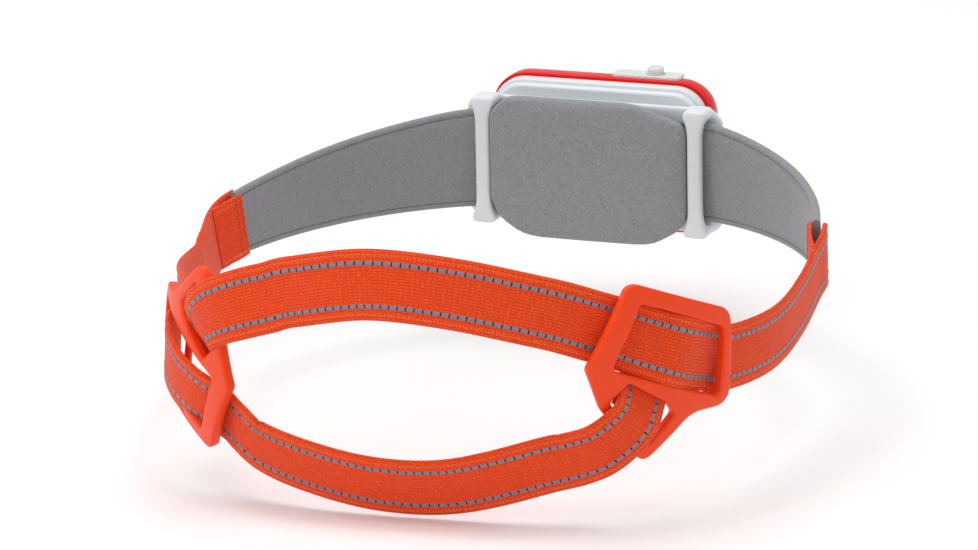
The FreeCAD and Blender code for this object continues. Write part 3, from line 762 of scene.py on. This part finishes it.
def buckleBlank(shape):
    low, high = shape["gap"], shape["gap"] + shape["thickness"]
    plate = flatPlate("buckleBlank", shape["corners"], shape["cornerRadii"], low, high)
    cutAway(plate, flatPlate("bigCutter", shape["bigWindow"], shape["bigRadii"], low - 3, high + 3),
            flatPlate("smallCutter", shape["smallWindow"], shape["smallRadii"], low - 3, high + 3))
    (ax, ay), (bx, by) = shape["ladderBar"]
    barHeight = low - 0.2
    rod = addRod("ladderRod", (ax, ay, barHeight), (bx, by, barHeight), shape["ladderRadius"] + 0.15, 20)
    joinInto(plate, rod)
    fuseSoft(plate, shape["voxel"], shape["smoothing"])
    return plate


blank = buckleBlank(buckleShape)
for side, label in ((-1, "right"), (1, "left")):
    makeActive(blank)
    bpy.ops.object.duplicate()
    piece = named(label + "Buckle")
    for v in piece.data.vertices:
        towardLamp, up, lift = v.co / mm
        v.co = onBall(side, towardLamp, up, lift) * mm
    smoothShade(piece, 60)
    dress(piece, buckleAcetal, buckleBodies[side], "orange_buckle", label + "_buckle")
bpy.data.objects.remove(blank)
print("buckles made")

# The white bracket: a plate, two flared bars and the hinge ears.
bracketSpec = {"bars": (34.1, -35.2), "barHalf": 2.4, "barFront": -4.6, "barBack": -1.2,
               "straight": {1: 11.4, -1: 12.6},
               "flares": ((2.6, 1.1), (2.0, 1.2), (1.6, 1.25), (1.2, 1.0), (1.0, 0.8)), "legFrom": 4.7,
               "plateHalfWidth": 42.2, "plateHalfHeight": 20.2, "plateDrop": 1.3, "plateCorner": 6.0,
               "plateBack": -9.6,
               "plateFront": -11.7, "voxel": 0.45, "smoothing": 40}


def bracketBar(spec, x):
    bar = addBlock("bar", (x - spec["barHalf"], spec["barFront"], -spec["straight"][-1]),
                   (x + spec["barHalf"], spec["barBack"], spec["straight"][1]))
    for end, straight in spec["straight"].items():
        reached = straight
        for rise, grow in spec["flares"]:
            extrudeFace(bar, lambda place, normal: normal.z * end > 0.9 and place.z * end > reached - 0.1,
                        (0, 0, end * rise), (grow, 1, 1))
            reached += rise
        extrudeFace(bar, lambda place, normal: normal.y < -0.5 and place.z * end > straight + spec["legFrom"],
                    (0, spec["plateBack"] - spec["barFront"] - 0.6, 0))
    return bar


def headBracket(spec):
    bracket = roundedSlab("headBracket", spec["plateHalfWidth"], spec["plateHalfHeight"],
                          spec["plateCorner"], spec["plateBack"],
                          spec["plateFront"])
    for v in bracket.data.vertices:
        v.co.z -= spec["plateDrop"] * mm
    parts = [bracketBar(spec, x) for x in spec["bars"]]
    for side in (-1, 1):
        x = side * 12.5
        parts.append(addRod("ear", (x - 1.4, -14.2, -20.6), (x + 1.4, -14.2, -20.6), 2.4))
        parts.append(addBlock("earFoot", (x - 1.4, -14.2, -21.8), (x + 1.4, -11.0, -18.2)))
    joinInto(bracket, *parts)
    fuseSoft(bracket, spec["voxel"], spec["smoothing"])
    smoothShade(bracket, 60)
    return bracket


dress(headBracket(bracketSpec), satinAbs, "headset", "white_shell", "head_bracket")
print("bracket made")

# The forehead pad, puffed up a little by its foam.
padSpec = {"corners": [(-32.5, -17.4), (-21.0, -24.2), (21.0, -24.2), (31.5, -16.0), (31.5, 15.4),
                       (26.0, 20.7),
                       (-14.5, 20.7), (-32.5, 14.8)], "radii": [8, 14, 16, 11, 5, 7, 16, 5], "back": -5.2,
           "face": -0.15,
           "voxel": 1.1, "cap": 0.45, "pressure": 4.0, "frames": 12}


def foreheadPad(spec):
    pad = flatPlate("foreheadPad", spec["corners"], spec["radii"], 0.0, spec["face"] - spec["back"])
    for v in pad.data.vertices:  # laid flat, then stood up with its face to the wearer
        x, z, y = v.co
        v.co = (x, y + spec["back"] * mm, z)
    pick(pad, "FACE", lambda place, normal: True)
    bpy.ops.mesh.normals_make_consistent(inside=False)
    bpy.ops.object.mode_set(mode="OBJECT")
    bevelEdges(pad, lambda place, along: place.y > spec["face"] - 0.05, 1.0, 3)
    bevelEdges(pad, lambda place, along: place.y < spec["back"] + 0.05, 0.6, 2)
    applyModifier(pad, "REMESH", mode="VOXEL", voxel_size=spec["voxel"] * mm)
    before = [v.co.copy() for v in pad.data.vertices]
    cloth = pad.modifiers.new("Cloth", "CLOTH")
    cloth.settings.use_pressure = True
    cloth.settings.uniform_pressure_force = spec["pressure"]
    cloth.settings.effector_weights.gravity = 0
    cloth.settings.mass = 0.05
    cloth.point_cache.frame_start, cloth.point_cache.frame_end = 1, spec["frames"]
    for step in range(1, spec["frames"] + 1):
        bpy.context.scene.frame_set(step)
    makeActive(pad)
    bpy.ops.object.modifier_apply(modifier=cloth.name)
    bpy.context.scene.frame_set(1)
    for v, start in zip(pad.data.vertices, before):
        move = v.co - start
        if start.y < (spec["back"] + 1.0) * mm:  # its back lies flat on the bands
            move.y = max(move.y, 0)
        if move.length > spec["cap"] * mm:
            move = move.normalized() * spec["cap"] * mm
        v.co = start + move
    applyModifier(pad, "SUBSURF", levels=1, render_levels=1)
    smoothShade(pad, 70)
    return pad


pad = foreheadPad(padSpec)
dress(pad, felt, "headset", "grey_felt", "forehead_pad")
print("forehead pad made")

# The lamp's white rear shell and red front shell.
housing = {"halfWidth": 36.0, "halfHeight": 24.2, "corner": 11.0, "seam": -18.2, "shoulder": -22.5,
           "shoulderSteps": ((1.7, 0.08), (1.9, 0.4), (2.0, 0.65), (1.8, 0.85), (1.4, 0.95), (1.2, 1.1),
                             (1.0, 1.07)),
           "front": -33.5, "step": -14.8, "wall": 1.6, "rearHalfWidth": 34.8, "rearHalfHeight": 23.3,
           "frontHollow": (31.4, 19.6, 9.0), "lensHole": (28.4, 15.4, 9.0), "lensSeat": (30.0, 17.0, 10.0),
           "knuckleHalf": 10.8,
           "rear": -12.4, "hingeY": -14.2, "hingeZ": -20.6, "knuckle": 2.4}


def rearShell(spec):
    shell = roundedSlab("rearShell", spec["rearHalfWidth"], spec["rearHalfHeight"], spec["corner"] - 1,
                        spec["step"], spec["seam"], segments=12)
    pick(shell, "FACE", lambda place, normal: normal.y > 0.9)
    bpy.ops.mesh.inset(thickness=1.25 * mm)
    bpy.ops.mesh.extrude_region_move(TRANSFORM_OT_translate={"value": (0,
                                                                       (spec["rear"] - spec["step"]) * mm,
                                                                       0)})
    bpy.ops.object.mode_set(mode="OBJECT")
    bevelEdges(shell, lambda place, along: place.y > spec["rear"] - 0.01, 1.1, 5)

    def outerRim(place, along):
        return abs(place.y - spec["step"]) < 0.01 and (abs(place.x) > 34.7 or abs(place.z) > 23.2
                                                       or math.hypot(abs(place.x) - 24.8,
                                                                     abs(place.z) - 13.3) > 9.6
                                                       and abs(place.x) > 24.8 and abs(place.z) > 13.3)
    bevelEdges(shell, outerRim, 0.9, 4)
    half = spec["knuckleHalf"]
    recessWall = spec["hingeY"] - spec["knuckle"] - 0.4
    recessTop = spec["hingeZ"] + spec["knuckle"] + 2.0
    cutAway(shell, addBlock("recess", (-40, recessWall, -30), (40, 0, recessTop)))
    knuckle = addRod("knuckle", (-half, spec["hingeY"], spec["hingeZ"]),
                     (half, spec["hingeY"], spec["hingeZ"]),
                     spec["knuckle"])
    root = addBlock("root", (-half, recessWall - 0.6, spec["hingeZ"] - 1.8),
                    (half, spec["hingeY"], spec["hingeZ"] + 2.2))
    joinInto(shell, knuckle, root)
    smoothShade(shell, 40)
    return shell


def frontShell(spec):
    shell = roundedSlab("frontShell", spec["halfWidth"], spec["halfHeight"], spec["corner"], spec["seam"],
                        spec["shoulder"], segments=14)
    reached, halfWidth, halfHeight = spec["shoulder"], spec["halfWidth"], spec["halfHeight"]
    for forward, inset in spec["shoulderSteps"]:
        extrudeFace(shell, lambda place, normal: normal.y < -0.9 and place.y < reached + 0.01,
                    (0, -forward, 0),
                    (1 - inset / halfWidth, 1, 1 - inset / halfHeight))
        reached, halfWidth, halfHeight = reached - forward, halfWidth - inset, halfHeight - inset
    bevelEdges(shell, lambda place, along: place.y > spec["seam"] - 0.01, 0.35, 2)
    wall = spec["wall"]
    cutAway(shell,
            roundedSlab("hollow", spec["halfWidth"] - wall, spec["halfHeight"] - wall,
                        spec["corner"] - wall, -17,
                        spec["shoulder"] - 1.5),
            roundedSlab("frontHollow", *spec["frontHollow"], -20, spec["front"] + 2.2),
            roundedSlab("lensHole", *spec["lensHole"], -20, spec["front"] - 1),
            roundedSlab("lensSeat", *spec["lensSeat"], spec["front"] + 1.2, spec["front"] - 1),
            addRod("buttonHole", (-16, -24, 15), (-16, -24, 30), 2.9),
            addBlock("portHole", (30, -26, -6), (40, -21.4, 6)))
    smoothShade(shell, 32)
    return shell


dress(rearShell(housing), satinAbs, "lamp", "white_shell", "rear_shell")
dress(frontShell(housing), glossAbs, "lamp", "red_shell", "front_shell")


# The frosted switch strip and its button.
stripSpec = {"low": (-24.7, -27.4, 24.1), "high": (-2.4, -20.6, 25.2), "buttonRadius": 2.6, "buttonX": -16.0,
             "buttonY": -24.0, "top": 27.4}


def switchStrip(spec):
    strip = addBlock("switchStrip", spec["low"], spec["high"])
    bevelEdges(strip, lambda place, along: abs(along.z) > 0.9, 1.6, 6)
    bevelEdges(strip, lambda place, along: place.z > spec["high"][2] - 0.01, 0.5, 4)
    cutAway(strip, addRod("ringCut", (spec["buttonX"], spec["buttonY"], 20),
                          (spec["buttonX"], spec["buttonY"], 30), 2.85))
    smoothShade(strip, 40)
    return strip


def powerButton(spec):
    x, y = spec["buttonX"], spec["buttonY"]
    button = addRod("powerButton", (x, y, 21.9), (x, y, spec["top"]), spec["buttonRadius"], 40)
    bevelEdges(button, lambda place, along: place.z > spec["top"] - 0.01, 0.7, 5)
    pick(button, "FACE", lambda place, normal: normal.z > 0.99 and place.z > spec["top"] - 0.01)
    bpy.ops.mesh.inset(thickness=0.5 * mm)
    bpy.ops.mesh.extrude_region_move(TRANSFORM_OT_translate={"value": (0, 0, -0.22 * mm)})
    bpy.ops.object.mode_set(mode="OBJECT")
    smoothShade(button, 40)
    return button


dress(switchStrip(stripSpec), frostedPc, "lamp", "translucent_button", "button_strip")
dress(powerButton(stripSpec), frostedPc, "power_button", "translucent_button", "power_button")
print("lamp housing made")

# Camera, floor and lights.
cameraSpec = {"azimuth": 199.74, "elevation": 16.07, "roll": 1.14, "target": (0, 85, 0), "distance": 1537.6,
              "lens": 191.4, "shift": (-0.0041, -0.0352)}


def placeCamera(spec):
    a, e, roll = (math.radians(spec[k]) for k in ("azimuth", "elevation", "roll"))
    back = Vector((math.sin(a) * math.cos(e), -math.cos(a) * math.cos(e), math.sin(e)))
    right = Vector((math.cos(a), math.sin(a), 0))
    up = back.cross(right)
    camRight = right * math.cos(roll) - up * math.sin(roll)
    camUp = right * math.sin(roll) + up * math.cos(roll)
    data = bpy.data.cameras.new("camera")
    data.sensor_width = 36
    data.lens = spec["lens"]
    data.shift_x, data.shift_y = spec["shift"]
    data.clip_start, data.clip_end = 0.05, 20
    camera = bpy.data.objects.new("camera", data)
    bpy.context.scene.collection.objects.link(camera)
    axes = Matrix((camRight, camUp, back)).transposed().to_4x4()
    camera.matrix_world = Matrix.Translation((Vector(spec["target"]) + back * spec["distance"]) * mm) @ axes
    bpy.context.scene.camera = camera


def areaLight(name, place, aim, size, power, colour="#FFFFFF"):
    data = bpy.data.lights.new(name, "AREA")
    data.shape = "DISK"
    data.size = size
    data.energy = power
    data.color = sRgb(colour)[:3]
    light = bpy.data.objects.new(name, data)
    bpy.context.scene.collection.objects.link(light)
    light.location = place
    light.rotation_euler = (Vector(aim) - Vector(place)).to_track_quat("-Z", "Y").to_euler()


def pageFloor(lowest):
    deselectAll()
    bpy.ops.mesh.primitive_plane_add(size=12, location=(0, 0.085, lowest - 0.001))
    floor = settle("floor")
    material, tree, shader = newMaterial("mattWhitePaper",
                                         **{"Roughness": 0.9, "Base Color": sRgb("#F7F7F7")})
    floor.data.materials.append(material)


placeCamera(cameraSpec)
pageFloor(cadBox[0].z)
world = bpy.data.worlds.new("softRoom")
bpy.context.scene.world = world
world.use_nodes = True
world.node_tree.nodes["Background"].inputs["Color"].default_value = sRgb("#FFFFFF")
world.node_tree.nodes["Background"].inputs["Strength"].default_value = 0.62
areaLight("topSoftbox", (0.15, 0.1, 1.6), (0, 0.085, 0), 1.6, 17)
areaLight("backSoftbox", (1.1, 1.1, 0.6), (0, 0.085, 0), 0.7, 3)
bpy.context.scene.view_settings.view_transform = "Standard"
print("camera, floor and lights placed")
